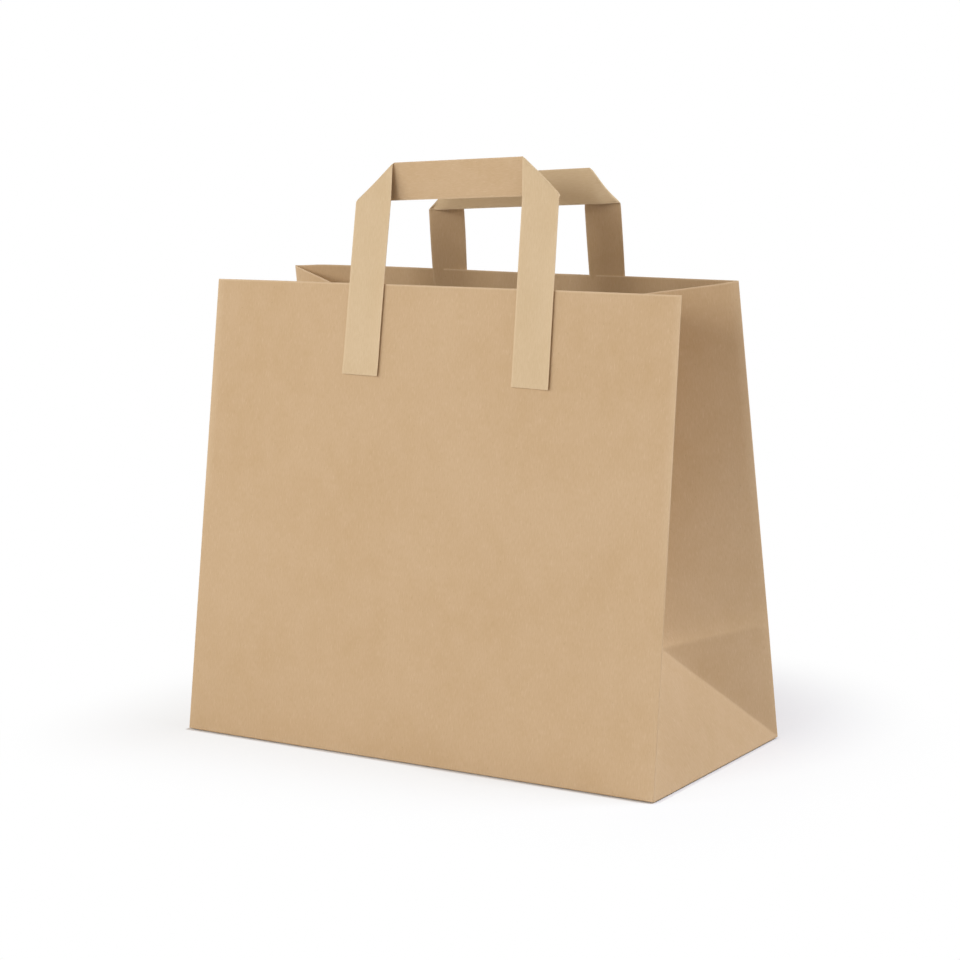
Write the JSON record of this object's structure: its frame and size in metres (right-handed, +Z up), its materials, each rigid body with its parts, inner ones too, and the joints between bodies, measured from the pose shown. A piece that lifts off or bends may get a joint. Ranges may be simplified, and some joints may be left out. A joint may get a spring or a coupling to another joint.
{
  "type": "paper lunch bag with flat handles",
  "caption": "Brown kraft paper bag with a block bottom, folded-in side gussets and flat folded paper strap handles, standing open.",
  "frame": {"origin": "middle of the base, on the ground: the bottom centre of the object's box", "axes": "+Z up from the base to the mouth and handles; +X to the right along the front panel's width; the front panel faces -Y"},
  "size_m": [0.26, 0.1201, 0.2745],
  "materials": {
    "bag_kraft": "uncoated brown kraft paper, machine finished, matte",
    "strap_kraft": "folded tape of the same kraft paper, slightly paler, matte"
  },
  "bodies": {
    "root": {"bag_body": "bag_kraft", "front_handle": "strap_kraft", "back_handle": "strap_kraft"}
  },
  "joints": []
}
